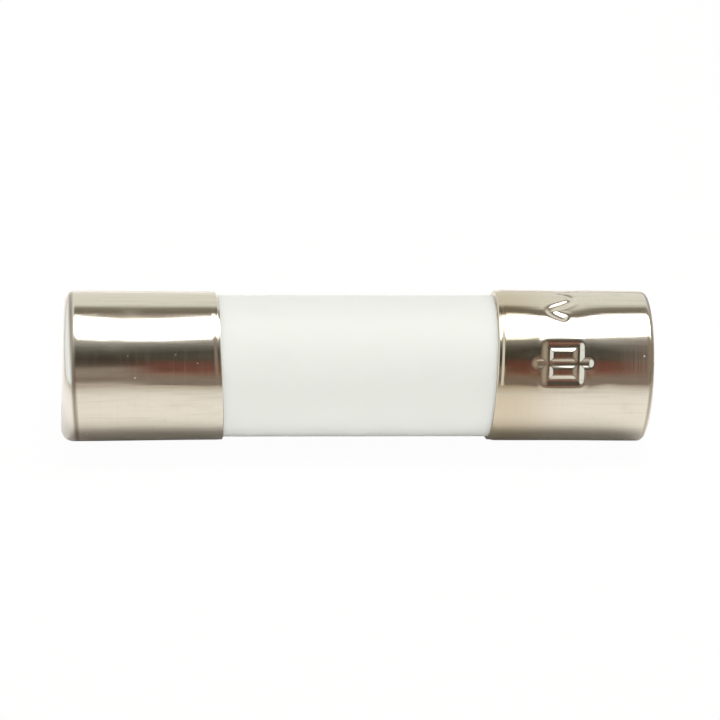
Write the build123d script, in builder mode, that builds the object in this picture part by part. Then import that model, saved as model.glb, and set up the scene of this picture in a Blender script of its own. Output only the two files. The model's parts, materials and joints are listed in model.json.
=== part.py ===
from build123d import *

import os
from math import sqrt

# Cartridge fuse of the 5 x 20 mm pattern, with a ceramic body and a wound, sand-filled fuse element.
#
# Frame: the origin is the middle of the fuse, on its axis. +X runs along the axis to the stamped end
# cap, +Z is up and -Y is the front. Sizes are in millimetres and angles in degrees.
#
# From the outside in: two drawn end caps, pressed over the ends of a ceramic tube; a pad of solder in
# the floor of each cap; a fibre disc that closes each end of the bore; quartz sand that fills the bore;
# and, on the axis, a core of twisted glass strands with the fuse wire wound round it from cap to cap.

# Outside of the fuse
fuse_length = 20.0
cap_diameter = 5.17
cap_length = 5.3
cap_wall = 0.16
cap_floor = 0.2  # thickness of the closed end
cap_corner = 0.4  # outer radius between the end face and the barrel
cap_inner_corner = 0.2
rim_round = 0.09  # on the outer edge of the open rim

# Ceramic tube
tube_bore = 3.2
tube_edge = 0.2  # rounding of the tube's outer end edges
bore_chamfer = 0.15

# Inside
solder_thickness = 0.3
solder_diameter = 4.3
solder_edge = 0.12
disc_thickness = 0.4
strand_count = 3
strand_diameter = 0.32
strand_pitch = 3.6  # length of one full twist of the core
strand_gap = 0.004  # keeps neighbouring strands apart
wire_diameter = 0.15
wire_pitch = 0.5
wire_gap = 0.004  # between the winding and the core
channel_gap = 0.01  # between the winding and the sand
element_grip = 0.2  # how far the element goes into each pad of solder

# Symbols stamped round the barrel of the right cap
stamp_depth = 0.05
stamp_stroke = 0.22
stamp_centre = 6.9  # distance of the row of symbols from the middle of the fuse
stamp_first_angle = 31.0  # of the first symbol, up from the front
stamp_step_angle = 53.0
symbol_width = 1.4  # round the barrel
symbol_height = 1.9  # along the barrel
fuse_box_height = 1.25  # the box of the fuse symbol, along the barrel
wave_height = 0.8  # from trough to crest, between the middles of the strokes
dot_count = 3
dot_diameter = 0.34

# Worked out from the sizes above
half_length = fuse_length / 2
cap_radius = cap_diameter / 2
tube_radius = cap_radius - cap_wall
bore_radius = tube_bore / 2
tube_length = fuse_length - 2 * (cap_floor + solder_thickness)
half_tube = tube_length / 2
sand_length = tube_length - 2 * disc_thickness
strand_radius = strand_diameter / 2
strand_offset = (strand_diameter + strand_gap) / sqrt(3)  # from the axis, for three strands that touch
core_radius = strand_offset + strand_radius
winding_radius = core_radius + wire_gap + wire_diameter / 2
element_radius = winding_radius + wire_diameter / 2
channel_radius = element_radius + channel_gap
half_element = half_tube + element_grip
along_x = (0, 90, 0)  # turns a cylinder from Z to X


def corner(section, x, radius):
    """The vertex of a half section that is nearest to a point."""
    return section.vertices().sort_by_distance((x, radius, 0))[0]


def end_cap(side):
    """A drawn cup with its closed end outwards; side is -1 for the left cap and 1 for the right one."""
    face_x = side * half_length
    floor_x = side * (half_length - cap_floor)
    rim_x = side * (half_length - cap_length)
    with BuildPart() as cap:
        with BuildSketch(Plane.XZ) as section:
            with BuildLine():
                Polyline(
                    (face_x, 0),
                    (face_x, cap_radius),
                    (rim_x, cap_radius),
                    (rim_x, tube_radius),
                    (floor_x, tube_radius),
                    (floor_x, 0),
                    close=True,
                )
            make_face()
            fillet(corner(section, face_x, cap_radius), cap_corner)
            fillet(corner(section, floor_x, tube_radius), cap_inner_corner)
            fillet(corner(section, rim_x, cap_radius), rim_round)
        revolve(axis=Axis.X)
    return cap


def stamp_plane(number):
    """The plane through the axis that faces one symbol: its X runs up round the barrel and its Y along it."""
    angle = stamp_first_angle + number * stamp_step_angle
    outward = Vector(0, -1, 0).rotate(Axis.X, -angle)
    upward = Vector(0, 0, 1).rotate(Axis.X, -angle)
    return Plane(origin=(stamp_centre, 0, 0), x_dir=upward, z_dir=outward)


def fuse_symbol():
    """The circuit symbol of a fuse: a box with the conductor running through it, along the barrel."""
    Rectangle(symbol_width, fuse_box_height)
    Rectangle(symbol_width - 2 * stamp_stroke, fuse_box_height - 2 * stamp_stroke, mode=Mode.SUBTRACT)
    SlotOverall(symbol_height, stamp_stroke, rotation=90)


def wave_symbol():
    """The sign for alternating current: one full wave, drawn as two arcs."""
    with BuildLine() as wave:
        for half in (-1, 1):
            crest = (half * symbol_width / 4, half * wave_height / 2)
            ThreePointArc((0, 0), crest, (half * symbol_width / 2, 0))
    trace(wave.line, stamp_stroke)


def dots_symbol():
    """A row of round punch marks."""
    with GridLocations(symbol_width / dot_count, 0, dot_count, 1):
        Circle(dot_diameter / 2)


# Ceramic tube
with BuildPart() as ceramic_tube:
    Cylinder(tube_radius, tube_length, rotation=along_x)
    Cylinder(bore_radius, tube_length, rotation=along_x, mode=Mode.SUBTRACT)
    end_edges = ceramic_tube.edges().filter_by(GeomType.CIRCLE).sort_by(SortBy.RADIUS)
    chamfer(end_edges[:2], bore_chamfer)
    end_edges = ceramic_tube.edges().filter_by(GeomType.CIRCLE).sort_by(SortBy.RADIUS)
    fillet(end_edges[-2:], tube_edge)

# End caps, the right one with its stamped symbols
end_cap_left = end_cap(-1)
end_cap_right = end_cap(1)

with BuildPart() as stamps:
    for number, draw_symbol in enumerate((fuse_symbol, wave_symbol, dots_symbol)):
        with BuildSketch(stamp_plane(number)):
            draw_symbol()
        extrude(amount=cap_diameter)
    Cylinder(cap_radius - stamp_depth, fuse_length, rotation=along_x, mode=Mode.SUBTRACT)

with end_cap_right:
    add(stamps.part, mode=Mode.SUBTRACT)


def spiral(pitch, radius, thickness):
    """A round strand wound along the axis, from inside one pad of solder to inside the other."""
    with BuildPart() as strand:
        with BuildLine() as path:
            Helix(
                pitch,
                2 * half_element,
                radius,
                center=(-half_element, 0, 0),
                direction=(1, 0, 0),
            )
        with BuildSketch(Plane(origin=path.line @ 0, z_dir=path.line % 0)):
            Circle(thickness / 2)
        sweep(is_frenet=True)
    return strand


# The fuse element: glass strands twisted into a core, and the fuse wire wound round it
fuse_wire = spiral(wire_pitch, winding_radius, wire_diameter)
first_strand = spiral(strand_pitch, strand_offset, strand_diameter)
strand_step = 360 / strand_count
core_strands = [first_strand.part.rotate(Axis.X, number * strand_step) for number in range(strand_count)]


def solder_pad(side):
    """The solder in the floor of one cap, closed round the end of the element."""
    with BuildPart() as pad:
        with Locations((side * (half_tube + solder_thickness / 2), 0, 0)):
            Cylinder(solder_diameter / 2, solder_thickness, rotation=along_x)
        fillet(pad.edges().filter_by(GeomType.CIRCLE).sort_by_distance((0, 0, 0))[0], solder_edge)
        add([fuse_wire.part, *core_strands], mode=Mode.SUBTRACT)
    return pad


def sealing_disc(side):
    """The fibre disc in one end of the bore, with a hole that the element passes through."""
    with BuildPart() as disc:
        with Locations((side * (half_tube - disc_thickness / 2), 0, 0)):
            Cylinder(bore_radius, disc_thickness, rotation=along_x)
            Cylinder(channel_radius, disc_thickness, rotation=along_x, mode=Mode.SUBTRACT)
    return disc


# Quartz sand, packed round the element between the two sealing discs
with BuildPart() as quartz_sand:
    Cylinder(bore_radius, sand_length, rotation=along_x)
    Cylinder(channel_radius, sand_length, rotation=along_x, mode=Mode.SUBTRACT)

finished = {
    "ceramic_tube": ceramic_tube.part,
    "end_cap_left": end_cap_left.part,
    "end_cap_right": end_cap_right.part,
    "solder_pad_left": solder_pad(-1).part,
    "solder_pad_right": solder_pad(1).part,
    "sealing_disc_left": sealing_disc(-1).part,
    "sealing_disc_right": sealing_disc(1).part,
    "fuse_wire": fuse_wire.part,
    "quartz_sand": quartz_sand.part,
}
for number, strand in enumerate(core_strands, 1):
    finished[f"core_strand_{number}"] = strand

os.makedirs("parts", exist_ok=True)
for name, piece in finished.items():
    piece.label = name
    export_step(piece, f"parts/{name}.step")
    print(name, len(piece.solids()), piece.is_valid, round(piece.volume, 4))
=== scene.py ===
"""The looks of a ceramic cartridge fuse, built round its CAD frame, and a small studio to see it in.

Everything is in metres in the frame's own axes: +X runs along the fuse to the stamped cap, +Z is up and -Y is
the front. An angle round the fuse starts at the front and grows upwards, so 90 degrees is the top.
"""

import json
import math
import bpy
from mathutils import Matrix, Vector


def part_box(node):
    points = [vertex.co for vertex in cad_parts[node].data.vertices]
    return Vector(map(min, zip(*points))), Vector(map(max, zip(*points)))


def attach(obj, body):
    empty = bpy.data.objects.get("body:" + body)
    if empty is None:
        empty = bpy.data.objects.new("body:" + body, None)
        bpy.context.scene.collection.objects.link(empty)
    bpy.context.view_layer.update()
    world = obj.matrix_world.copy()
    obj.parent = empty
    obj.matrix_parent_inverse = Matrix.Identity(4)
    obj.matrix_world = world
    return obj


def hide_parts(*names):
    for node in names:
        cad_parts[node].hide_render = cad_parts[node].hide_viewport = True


bl_info = {
    "name": "Cartridge Fuse",
    "version": (1, 0, 0),
    "blender": (4, 5, 0),
    "location": "3D View > Sidebar > Cartridge Fuse",
    "description": "Builds the pieces of a ceramic cartridge fuse and a studio to look at it in",
    "category": "Add Mesh",
}

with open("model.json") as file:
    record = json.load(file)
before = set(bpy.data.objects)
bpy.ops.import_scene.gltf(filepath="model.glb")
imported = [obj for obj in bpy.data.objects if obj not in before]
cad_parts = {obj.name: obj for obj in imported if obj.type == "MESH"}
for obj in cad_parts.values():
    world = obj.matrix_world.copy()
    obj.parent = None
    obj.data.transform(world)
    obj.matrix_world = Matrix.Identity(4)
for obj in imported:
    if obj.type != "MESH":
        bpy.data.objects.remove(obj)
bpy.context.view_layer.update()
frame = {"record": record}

import bpy
import numpy as np
from bpy.props import FloatProperty, FloatVectorProperty, IntProperty, PointerProperty
from bpy.types import Operator, Panel, PropertyGroup
from mathutils import Quaternion, Vector

MM = 0.001
BODY = "root"
BAKE_MAP = "OFBake"  # the name of the UV map that an export keeps

mounts = {mount["name"]: mount for mount in frame["record"]["mounts"]}


# Sizes of the CAD pieces, which the visible pieces keep


class Sizes:
    """What the CAD frame says about each piece, in metres."""

    cap_radius = mounts["right_cap_barrel"]["dims"]["r_mm"] * MM
    half_length = mounts["right_end_face"]["pos_m"][0]
    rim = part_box("end_cap_right")[0].x
    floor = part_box("solder_pad_right")[1].x
    tube_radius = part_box("ceramic_tube")[1].z
    half_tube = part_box("ceramic_tube")[1].x
    bore_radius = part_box("quartz_sand")[1].z
    solder_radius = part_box("solder_pad_right")[1].z
    half_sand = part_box("quartz_sand")[1].x
    half_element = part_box("core_strand_1")[1].x
    winding_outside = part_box("fuse_wire")[1].z
    core_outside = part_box("core_strand_1")[1].z


cap_length = Sizes.half_length - Sizes.rim


# What a user may change


def a_length(name, description, metres):
    """A length that a user can set."""
    return FloatProperty(name=name, description=description, default=metres, unit="LENGTH", precision=6)


def an_angle(name, description, degrees):
    """An angle that a user can set."""
    return FloatProperty(name=name, description=description, default=math.radians(degrees), subtype="ANGLE")


def a_colour(name, description, red, green, blue):
    """A colour that a user can pick."""
    return FloatVectorProperty(
        name=name,
        description=description,
        default=(red, green, blue),
        subtype="COLOR",
        min=0,
        max=1,
    )


class CapSettings(PropertyGroup):
    """The two end caps."""

    unevenness: a_length("Unevenness", "Height of the slow waves that drawing and crimping leave", 0.003 * MM)
    around: IntProperty(
        name="Steps round a cap",
        description="Steps round the smooth part of a cap's barrel",
        default=300,
        min=48,
        max=720,
    )


class StampSettings(PropertyGroup):
    """The symbols stamped round the right cap."""

    depth: a_length("Depth", "Depth of the stamped strokes", 0.042 * MM)
    stroke: a_length("Stroke", "Width of the stamped strokes", 0.22 * MM)
    shoulder: a_length("Shoulder", "Width of the rounded edge of a stroke", 0.18 * MM)
    width: a_length("Symbol width", "Size of a symbol round the barrel", 1.4 * MM)
    height: a_length("Symbol height", "Size of a symbol along the barrel", 1.9 * MM)
    middle: a_length("Distance", "From the middle of the fuse to the middle of the row of symbols", 6.9 * MM)
    first: an_angle("First angle", "Angle of the first symbol, up from the front", 31)
    step: an_angle("Step", "Angle from one symbol to the next", 53)


class ElementSettings(PropertyGroup):
    """The fuse element, inside the tube."""

    strand_diameter: a_length("Strand", "Diameter of one strand of the glass core", 0.32 * MM)
    strand_pitch: a_length("Twist", "Length of one full twist of the core", 3.6 * MM)
    wire_diameter: a_length("Wire", "Diameter of the fuse wire", 0.15 * MM)
    wire_pitch: a_length("Winding pitch", "Distance from one turn of the wire to the next", 0.5 * MM)
    grain: a_length("Sand grain", "Size of a grain of quartz", 0.24 * MM)


class FinishSettings(PropertyGroup):
    """Colours of the materials."""

    nickel: a_colour("Nickel plate", "Colour of the plated caps", 0.72, 0.688, 0.60)
    ceramic: a_colour("Ceramic", "Colour of the tube", 0.67, 0.705, 0.688)
    solder: a_colour("Solder", "Colour of the solder", 0.62, 0.62, 0.61)
    fibre: a_colour("Fibre", "Colour of the sealing discs", 0.30, 0.27, 0.23)
    glass: a_colour("Glass yarn", "Colour of the element's core", 0.86, 0.87, 0.83)
    copper: a_colour("Tinned copper", "Colour of the fuse wire", 0.75, 0.69, 0.60)
    quartz: a_colour("Quartz sand", "Colour of the filling", 0.74, 0.68, 0.58)


class StageSettings(PropertyGroup):
    """The studio and the camera."""

    distance: a_length("Camera distance", "From the camera to the middle of the fuse", 130 * MM)
    turn: an_angle("Turn", "How far the camera stands to the left of the front", 5.35)
    elevation: an_angle("Elevation", "How far the camera looks down", 29)
    focal_length: FloatProperty(
        name="Focal length",
        description="Focal length of the camera, in millimetres",
        default=189.45,
    )
    off_right: a_length("Right of the middle", "How far right of the middle the camera aims", 0.18 * MM)
    off_up: a_length("Above the middle", "How far above the middle the camera aims", 0.20 * MM)
    floor_size: a_length("Floor", "Half the side of the floor", 0.6)


# Shapes


def smooth_step(low, high, value):
    """0 below low, 1 above high, and a smooth rise between them."""
    share = np.clip((value - low) / (high - low), 0, 1)
    return share * share * (3 - 2 * share)


def hump(distance, width):
    """1 at a distance of 0, falling away smoothly over about the width."""
    return np.exp(-((distance / width) ** 2))


def all_round(steps):
    """Angles evenly spaced all the way round."""
    return np.arange(steps) * (2 * math.pi / steps)


def turn_between(angle, middle):
    """The signed turn from the middle to each angle, within half a circle."""
    return (angle - middle + math.pi) % (2 * math.pi) - math.pi


def outward(points, faces):
    """The faces, turned over if they enclose the points inside out."""
    corners = points[faces]
    first, second, third, fourth = (corners[:, number] for number in range(4))
    volume = np.einsum("ij,ij->i", first, np.cross(second, third)).sum()
    volume += np.einsum("ij,ij->i", first, np.cross(third, fourth)).sum()
    return faces if volume > 0 else faces[:, ::-1]


def placed(name, data):
    """An object made from its data and added to the scene."""
    made = bpy.data.objects.new(name, data)
    bpy.context.scene.collection.objects.link(made)
    return made


def mesh_object(name, points, faces, material, uv=None):
    """A smooth-shaded object from arrays of points and of faces. A face may repeat a corner."""
    mesh = bpy.data.meshes.new(name)
    rows = [list(dict.fromkeys(face)) for face in faces.tolist()]
    mesh.from_pydata(points.tolist(), [], rows)
    mesh.polygons.foreach_set("use_smooth", np.ones(len(rows), bool))
    if uv is not None:
        layer = mesh.uv_layers.new(name=BAKE_MAP)
        places = [
            uv[row][face.index(corner)] for row, face in enumerate(faces.tolist()) for corner in rows[row]
        ]
        layer.data.foreach_set("uv", np.array(places, np.float32).ravel())
    mesh.materials.append(material)
    mesh.update()
    return placed(name, mesh)


def lathe(name, section, angles, material, closed=False, shift=None):
    """A piece turned about the X axis.

    section is an array of points (x, radius), from the axis back to the axis, or round a ring if closed.
    shift gives the moves of each point along the axis and away from it, from arrays of the points' numbers in
    the section and of their angles.
    """
    count, turns = len(section), len(angles)
    number, angle = np.meshgrid(np.arange(count), angles, indexing="ij")
    x = section[number, 0]
    radius = section[number, 1]
    if shift is not None:
        along, away = shift(number, angle)
        x, radius = x + along, radius + away
    points = np.stack([x, -radius * np.cos(angle), radius * np.sin(angle)], axis=-1).reshape(-1, 3)
    rows = np.arange(count if closed else count - 1)
    row, column = (part.ravel() for part in np.meshgrid(rows, np.arange(turns), indexing="ij"))
    next_row, next_column = (row + 1) % count, (column + 1) % turns

    def corner(at_row, at_column):
        """The number of a point. All the points of a row on the axis are one."""
        on_axis = (section[at_row, 1] == 0) & (not closed)
        return at_row * turns + np.where(on_axis, 0, at_column)

    faces = np.stack(
        [
            corner(row, column),
            corner(next_row, column),
            corner(next_row, next_column),
            corner(row, next_column),
        ],
        axis=-1,
    )
    steps = np.linalg.norm(np.diff(section, axis=0, append=section[:1]), axis=1)
    along = np.concatenate([[0], np.cumsum(steps)]) / steps.sum()
    across = np.append(angles - angles[0], 2 * math.pi) / (2 * math.pi)
    uv = np.stack(
        [
            np.stack([across[column], along[row]], axis=-1),
            np.stack([across[column], along[row + 1]], axis=-1),
            np.stack([across[column + 1], along[row + 1]], axis=-1),
            np.stack([across[column + 1], along[row]], axis=-1),
        ],
        axis=1,
    )
    turned = outward(points, faces)
    if turned is not faces:
        uv = uv[:, ::-1]
    used, where = np.unique(turned, return_inverse=True)
    return mesh_object(name, points[used], where.reshape(turned.shape), material, uv)


def arc(centre_x, centre_radius, radius, start, end, steps):
    """Points round part of a circle in a section, from the start to the end angle, in degrees from +X."""
    angles = np.radians(np.linspace(start, end, steps + 1))
    return np.stack([centre_x + radius * np.cos(angles), centre_radius + radius * np.sin(angles)], axis=-1)


def line(start, end, steps):
    """Points along a straight stretch of a section."""
    return np.linspace(start, end, steps + 1)


def joined(*stretches):
    """A section made of stretches, each starting where the last one ended."""
    return np.concatenate([stretches[0], *(stretch[1:] for stretch in stretches[1:])])


def stepped(start, end, step):
    """Numbers from start up to, but not with, the end, evenly spaced by about the step."""
    return np.linspace(start, end, math.ceil((end - start) / step), endpoint=False)


def spread(start, end, fine_from, fine_to, fine, coarse):
    """Numbers from start to end, a fine step apart in one stretch and a coarse step apart outside it."""
    stretches = [
        stepped(start, fine_from, coarse),
        stepped(fine_from, fine_to, fine),
        stepped(fine_to, end, coarse),
    ]
    return np.concatenate(stretches)


def waves(x, angle, height, seed, shortest=1.4 * MM):
    """Slow unevenness all over a turned surface: a sum of waves that close up round it."""
    random = np.random.default_rng(seed)
    total = np.zeros_like(x)
    for turns in range(1, 9):
        for _ in range(3):
            length = shortest * random.uniform(1, 6)
            phases = random.uniform(0, 2 * math.pi, 2)
            size = random.normal() / turns**1.3
            total += size * np.cos(turns * angle + phases[0]) * np.cos(2 * math.pi * x / length + phases[1])
    return height * total


def stroke_distance(across, along, line_points):
    """The distance of each place from a drawn line, which is a list of points or one point."""
    start = np.array(line_points[0])
    best = np.hypot(across - start[0], along - start[1])
    for end in np.array(line_points[1:]).reshape(-1, 2):
        way = end - start
        share = ((across - start[0]) * way[0] + (along - start[1]) * way[1]) / (way @ way)
        share = np.clip(share, 0, 1)
        aside, ahead = across - start[0] - share * way[0], along - start[1] - share * way[1]
        best = np.minimum(best, np.hypot(aside, ahead))
        start = end
    return best


# Shader nodes


def add_node(tree, kind, inputs=None, **settings):
    """A node with its settings, and with its inputs set to values or linked to other nodes' outputs."""
    made = tree.nodes.new(kind)
    for name, value in settings.items():
        setattr(made, name, value)
    for socket, value in (inputs or {}).items():
        if isinstance(value, bpy.types.NodeSocket):
            tree.links.new(value, made.inputs[socket])
        else:
            made.inputs[socket].default_value = value
    return made


def maths(tree, operation, first, second=0.0, third=0.0):
    """The output of one Math node."""
    return add_node(tree, "ShaderNodeMath", {0: first, 1: second, 2: third}, operation=operation).outputs[0]


def apart(tree, value, middle):
    """How far a value is from a middle, up or down."""
    return maths(tree, "ABSOLUTE", maths(tree, "SUBTRACT", value, middle))


def blended(tree, share, low, high, blend_type="MIX"):
    """A colour between two, by a share."""
    inputs = {"Factor": share, 6: low, 7: high}
    return add_node(tree, "ShaderNodeMix", inputs, data_type="RGBA", blend_type=blend_type).outputs[2]


def between(tree, value, low, high):
    """How far a value is from low, 0, to high, 1."""
    inputs = {"Value": value, "From Min": low, "From Max": high}
    return add_node(tree, "ShaderNodeMapRange", inputs, interpolation_type="SMOOTHSTEP").outputs["Result"]


def ramp(tree, value, stops):
    """A colour ramp through stops, each a place and a grey or a colour."""
    made = add_node(tree, "ShaderNodeValToRGB", {"Fac": value})
    elements = made.color_ramp.elements
    while len(elements) < len(stops):
        elements.new(0.5)
    for element, (place, shade) in zip(elements, stops):
        element.position = place
        element.color = (*shade, 1) if isinstance(shade, tuple) else (shade, shade, shade, 1)
    return made.outputs["Color"]


def feed(tree, sockets, **sources):
    """Links outputs to the sockets whose names they are given under."""
    for name, source in sources.items():
        tree.links.new(source, sockets[name.replace("_", " ")])


def new_group(name, inputs, outputs):
    """A shader node group, its input values and the node that takes its outputs. Sizes are in millimetres."""
    tree = bpy.data.node_groups.new(name, "ShaderNodeTree")
    for socket, value in inputs.items():
        made = tree.interface.new_socket(name=socket, in_out="INPUT", socket_type="NodeSocketFloat")
        made.default_value = value
    for socket in outputs:
        tree.interface.new_socket(name=socket, in_out="OUTPUT", socket_type="NodeSocketFloat")
    return tree, tree.nodes.new("NodeGroupInput").outputs, tree.nodes.new("NodeGroupOutput").inputs


def place(tree, scale):
    """The place on the piece, in millimetres, stretched by a scale along each axis."""
    coordinates = add_node(tree, "ShaderNodeTexCoord").outputs["Object"]
    stretched = tuple(part / MM for part in scale)
    return add_node(tree, "ShaderNodeMapping", {"Vector": coordinates, "Scale": stretched}).outputs["Vector"]


def axes(tree):
    """The place on the piece along each axis, in millimetres."""
    return add_node(tree, "ShaderNodeSeparateXYZ", {"Vector": place(tree, (1, 1, 1))}).outputs


def noise(tree, vector, scale, detail, roughness):
    """The value of a noise texture."""
    inputs = {"Vector": vector, "Scale": scale, "Detail": detail, "Roughness": roughness}
    return add_node(tree, "ShaderNodeTexNoise", inputs).outputs["Fac"]


def drawing_marks_group():
    """Hairlines: along the axis, from a die, and round it, from tools that turned on the metal."""
    inputs = {"Along": 1.0, "Round": 0.5, "Size": 9.0}
    tree, given, out = new_group("Drawing marks", inputs, ["Height", "Mask", "Round"])
    lengthways = noise(tree, place(tree, (0.035, 1, 1)), given["Size"], 3.0, 0.6)
    crossways = noise(tree, place(tree, (1.6, 0.03, 0.03)), given["Size"], 2.0, 0.55)
    along = maths(tree, "MULTIPLY", lengthways, given["Along"])
    feed(
        tree,
        out,
        Height=maths(tree, "MULTIPLY_ADD", crossways, given["Round"], along),
        Mask=apart(tree, lengthways, 0.5),
        Round=apart(tree, crossways, 0.5),
    )
    return tree


def smudges_group():
    """Soft patches, such as handling and uneven plating leave."""
    tree, given, out = new_group("Smudges", {"Size": 0.8, "Cover": 0.5}, ["Mask"])
    patches = noise(tree, place(tree, (0.6, 1, 1)), given["Size"], 4.0, 0.55)
    low = maths(tree, "SUBTRACT", 0.72, maths(tree, "MULTIPLY", given["Cover"], 0.4))
    feed(tree, out, Mask=between(tree, patches, low, maths(tree, "ADD", low, 0.16)))
    return tree


def specks_group():
    """Small scattered specks, such as pits or dirt, of uneven size."""
    tree, given, out = new_group("Specks", {"Spacing": 1.0, "Size": 0.06, "Share": 0.4}, ["Mask"])
    per_mm = maths(tree, "DIVIDE", 1.0, given["Spacing"])
    cells = add_node(tree, "ShaderNodeTexVoronoi", {"Vector": place(tree, (1, 1, 1)), "Scale": per_mm})
    kept = add_node(tree, "ShaderNodeSeparateColor", {"Color": cells.outputs["Color"]}).outputs
    chosen = maths(tree, "LESS_THAN", kept["Red"], given["Share"])
    distance = maths(tree, "MULTIPLY", cells.outputs["Distance"], given["Spacing"])
    size = maths(tree, "MULTIPLY", given["Size"], kept["Green"])
    inside = maths(tree, "SUBTRACT", 1.0, maths(tree, "DIVIDE", distance, size))
    mask = maths(tree, "MULTIPLY", chosen, maths(tree, "MAXIMUM", inside, 0.0))
    feed(tree, out, Mask=maths(tree, "MINIMUM", mask, 1.0))
    return tree


def grain_group():
    """Fine roughness of a fired, cast or fibrous surface."""
    tree, given, out = new_group("Grain", {"Size": 6.0, "Stretch": 0.0}, ["Height"])
    even = noise(tree, place(tree, (1, 1, 1)), given["Size"], 5.0, 0.6)
    drawn_out = noise(tree, place(tree, (0.1, 1, 1)), given["Size"], 3.0, 0.5)
    difference = maths(tree, "SUBTRACT", drawn_out, even)
    feed(tree, out, Height=maths(tree, "MULTIPLY_ADD", difference, given["Stretch"], even))
    return tree


GROUPS = {
    "Drawing marks": drawing_marks_group,
    "Smudges": smudges_group,
    "Specks": specks_group,
    "Grain": grain_group,
}


def effect(tree, name, **inputs):
    """One of the shared effects, placed in a material with its own values."""
    group = bpy.data.node_groups.get(name) or GROUPS[name]()
    made = add_node(tree, "ShaderNodeGroup", node_tree=group)
    for socket, value in inputs.items():
        made.inputs[socket].default_value = value
    return made.outputs


# Materials

# What heat, and the painted reflections on a cap's end and corner, do to the red, green and blue of the
# nickel
HEAT_TINT = (0.84, 0.775, 0.675)
PAINTED_PALE_END = (1.08, 1.11, 1.2)
PAINTED_DARK_REFLECTION = (0.3, 0.24, 0.18)
DUST_COLOUR = (0.80, 0.79, 0.76, 1)
SPECK_COLOUR = (0.42, 0.42, 0.40, 1)
BARE_COPPER = (0.80, 0.50, 0.34, 1)
CLEAR_GRAIN = (0.9, 0.88, 0.84, 1)


def new_material(name, **sockets):
    """A material and its node tree, with its shader's sockets given by name."""
    made = bpy.data.materials.new(name)
    made.use_nodes = True
    tree = made.node_tree
    for socket, value in sockets.items():
        tree.nodes["Principled BSDF"].inputs[socket.replace("_", " ")].default_value = value
    return made, tree


def dressed(made, height, depth, **sources):
    """A material whose shader takes relief of a depth in metres, and what its other sockets are given."""
    tree = made.node_tree
    relief = add_node(tree, "ShaderNodeBump", {"Height": height, "Distance": depth, "Strength": 1.0})
    feed(tree, tree.nodes["Principled BSDF"].inputs, Normal=relief.outputs["Normal"], **sources)
    return made


def shaded(base, factor):
    """A colour made darker or lighter, by one factor or by one for each of its parts, with its alpha."""
    factors = factor if isinstance(factor, tuple) else (factor,) * 3
    return (*(part * share for part, share in zip(base, factors)), 1)


def nickel_material(name, side):
    """Bright nickel over brass, with drawing marks, faint smudges, pits and dust.

    Heat left a tint at the rim. A dark brown line, a painted reflection, runs round the start of the corner,
    and the end beyond it is painted a little whiter, a painted pale reflection.
    """
    made, tree = new_material(name)
    base = bpy.context.scene.fuse_finish.nickel
    form = CAP_FORMS[side]
    marks = effect(tree, "Drawing marks", Along=1.0, Round=0.55, Size=9.0)
    smudges = effect(tree, "Smudges", Size=0.9, Cover=0.35)
    pits = effect(tree, "Specks", Spacing=0.55, Size=0.05, Share=0.2)
    dust = effect(tree, "Specks", Spacing=0.33, Size=0.06, Share=0.4)
    part = axes(tree)

    uneven = maths(tree, "MULTIPLY_ADD", smudges["Mask"], 0.5, part["X"])
    tint_from, tint_to = ((side * Sizes.rim + form[key]) / MM for key in ("tint_from", "tint_to"))
    tinted = between(tree, uneven, tint_from, tint_to)
    plated = blended(tree, tinted, shaded(base, 1.0), shaded(base, HEAT_TINT))
    streaked = blended(tree, maths(tree, "MULTIPLY", marks["Mask"], 2.5), plated, shaded(base, 0.82))
    dulled = blended(tree, maths(tree, "MULTIPLY", smudges["Mask"], 0.4), streaked, shaded(base, 0.85))

    # A dark brown line painted round the start of the corner is a painted reflection; the end beyond it is
    # painted whiter, a painted pale reflection
    leaning = maths(tree, "MULTIPLY_ADD", part["Z"], form["tarnish_lean"], part["X"])
    inwards = maths(tree, "MULTIPLY_ADD", leaning, -side, form["tarnish_at"] / MM)
    bright = blended(tree, between(tree, inwards, 0.02, -0.08), dulled, shaded(base, PAINTED_PALE_END))
    line_width = form["tarnish_width"] / MM
    tarnish = between(tree, maths(tree, "ABSOLUTE", inwards), line_width, 0.1 * line_width)
    patchy = maths(tree, "MULTIPLY_ADD", marks["Round"], -1.2, form["tarnish"])
    painted_dark_line = maths(tree, "MULTIPLY", tarnish, maths(tree, "MAXIMUM", patchy, 0.0))
    with_painted_line = blended(tree, painted_dark_line, bright, shaded(base, PAINTED_DARK_REFLECTION))
    pitted = blended(tree, pits["Mask"], with_painted_line, shaded(base, 0.55))

    haze = maths(tree, "MULTIPLY_ADD", marks["Round"], -0.12, 1.0)
    haze = maths(tree, "MULTIPLY_ADD", smudges["Mask"], -0.03, haze)
    rough = maths(tree, "MULTIPLY_ADD", marks["Mask"], 0.25, 0.1)
    rough = maths(tree, "MULTIPLY_ADD", painted_dark_line, 0.15, rough)
    return dressed(
        made,
        maths(tree, "MULTIPLY_ADD", pits["Mask"], -0.6, marks["Height"]),
        0.0016 * MM,
        Base_Color=blended(tree, dust["Mask"], pitted, DUST_COLOUR),
        Metallic=maths(tree, "MULTIPLY_ADD", dust["Mask"], -0.8, haze),
        Roughness=maths(tree, "MULTIPLY_ADD", smudges["Mask"], 0.1, rough),
    )


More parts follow.
